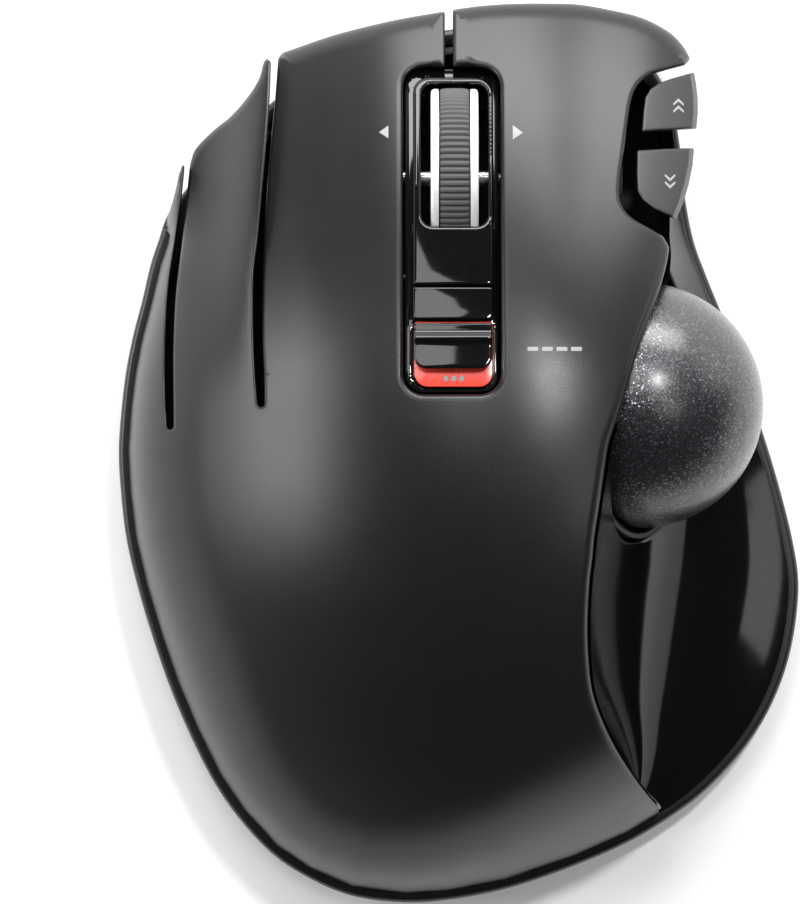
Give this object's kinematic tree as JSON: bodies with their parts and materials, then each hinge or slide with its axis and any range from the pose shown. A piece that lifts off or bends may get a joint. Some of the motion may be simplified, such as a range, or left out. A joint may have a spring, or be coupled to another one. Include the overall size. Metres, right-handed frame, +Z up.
{
  "type": "trackball mouse",
  "caption": "Left-handed wireless trackball mouse: palm body with thumb-side ball, flexing main buttons, two side keys, tilting scroll wheel and speed slider.",
  "frame": {"origin": "on the desk plane under the middle of the outline", "axes": "+X towards the thumb side with the ball, +Y forwards the way the fingers point, +Z up"},
  "size_m": [0.0951, 0.1255, 0.0478],
  "materials": {
    "matte_cover": "fine matte, dark grey",
    "gloss_black": "polished black",
    "base_plastic": "satin black",
    "ball": "polished, fine metallic flake",
    "wheel_chrome": "bright plated",
    "wheel_rubber": "finely ribbed",
    "red_label": "printed red",
    "board": "solder mask",
    "ceramic": "polished",
    "steel": "plated",
    "black_part": "moulded",
    "slick_foot": "low friction",
    "cell_wrap": "printed wrap",
    "white_part": "moulded",
    "clear_lens": "clear"
  },
  "bodies": {
    "case": {"base_case": "base_plastic", "palm_cover": "matte_cover", "thumb_rest": "gloss_black", "side_wall": "matte_cover", "side_key_board": "board", "forward_switch": "black_part", "back_switch": "black_part", "centre_console": "gloss_black", "indicator_window": "gloss_black", "speed_label_plate": "red_label", "tilt_bearing": "black_part", "main_board": "board", "left_click_switch": "black_part", "right_click_switch": "black_part", "middle_click_switch": "black_part", "tilt_switch_left": "black_part", "tilt_switch_right": "black_part", "speed_switch": "steel", "radio_chip": "black_part", "status_led": "white_part", "support_bearing_1": "ceramic", "support_bearing_2": "ceramic", "support_bearing_3": "ceramic", "ball_bowl": "black_part", "sensor_lens": "clear_lens", "optical_sensor": "black_part", "sensor_board": "board", "aa_cell": "cell_wrap", "contact_plate": "steel", "contact_spring": "steel", "power_switch_body": "steel", "screw_1": "steel", "screw_2": "steel", "screw_3": "steel", "screw_4": "steel", "foot_front_left": "slick_foot", "foot_front_right": "slick_foot", "foot_left": "slick_foot", "foot_rear": "slick_foot", "foot_right": "slick_foot"},
    "left_button": {"left_main_button": "matte_cover"},
    "right_button": {"right_main_button": "matte_cover"},
    "forward_key": {"forward_button": "matte_cover"},
    "back_key": {"back_button": "matte_cover"},
    "wheel_tilter": {"tilt_frame": "black_part", "cradle_pin": "steel"},
    "wheel_clicker": {"wheel_cradle": "black_part", "scroll_encoder": "black_part"},
    "scroll_wheel": {"wheel_hub": "wheel_chrome", "wheel_tyre": "wheel_rubber", "wheel_axle": "steel"},
    "speed_knob": {"speed_slider": "gloss_black"},
    "ball": {"trackball": "ball"},
    "power_knob": {"power_switch": "white_part"},
    "door": {"battery_door": "base_plastic"},
    "usb_receiver": {"receiver_cap": "black_part", "receiver_plug_shell": "steel", "receiver_contact_block": "white_part"}
  },
  "joints": [
    {"name": "left_button_press", "type": "hinge", "parent": "case", "child": "left_button", "pos_m": [-0.0145, 0.0088, 0.041], "axis": [-1, 0, 0], "range_deg": [0, 1], "stiffness_Nm_per_rad": 2.5, "springref_deg": -0.57},
    {"name": "right_button_press", "type": "hinge", "parent": "case", "child": "right_button", "pos_m": [0.0145, 0.0115, 0.0415], "axis": [-1, 0, 0], "range_deg": [0, 1], "stiffness_Nm_per_rad": 2.5, "springref_deg": -0.57},
    {"name": "forward_key_press", "type": "slide", "parent": "case", "child": "forward_key", "axis": [-0.92, 0, -0.392], "range_m": [0, 0.0006], "stiffness_N_per_m": 300, "springref_m": -0.0003},
    {"name": "back_key_press", "type": "slide", "parent": "case", "child": "back_key", "axis": [-0.92, 0, -0.392], "range_m": [0, 0.0006], "stiffness_N_per_m": 300, "springref_m": -0.0003},
    {"name": "wheel_tilt", "type": "hinge", "parent": "case", "child": "wheel_tilter", "pos_m": [-0.00075, 0.0379, 0.0142], "axis": [0, 1, 0], "range_deg": [-2.5, 2.5], "stiffness_Nm_per_rad": 1.2},
    {"name": "wheel_click", "type": "hinge", "parent": "wheel_tilter", "child": "wheel_clicker", "pos_m": [-0.00075, 0.0243, 0.0169], "axis": [-1, 0, 0], "range_deg": [0, 2.4], "stiffness_Nm_per_rad": 0.8, "springref_deg": -1.15},
    {"name": "wheel_scroll", "type": "hinge", "parent": "wheel_clicker", "child": "scroll_wheel", "pos_m": [-0.00075, 0.0379, 0.0265], "axis": [1, 0, 0], "continuous": true},
    {"name": "speed_slide", "type": "slide", "parent": "case", "child": "speed_knob", "axis": [0, -0.9704, 0.2414], "range_m": [0, 0.0021]},
    {"name": "ball_roll", "type": "hinge", "parent": "case", "child": "ball", "pos_m": [0.0251, 0.0065, 0.025], "axis": [0, 0, 1], "continuous": true},
    {"name": "power_slide", "type": "slide", "parent": "case", "child": "power_knob", "axis": [0, -1, 0], "range_m": [0, 0.0036]},
    {"name": "battery_door_lift", "type": "slide", "parent": "case", "child": "door", "axis": [0, 0, -1], "range_m": [0, 0.012]},
    {"name": "receiver_pull", "type": "slide", "parent": "case", "child": "usb_receiver", "axis": [0, 0, -1], "range_m": [0, 0.012]}
  ]
}
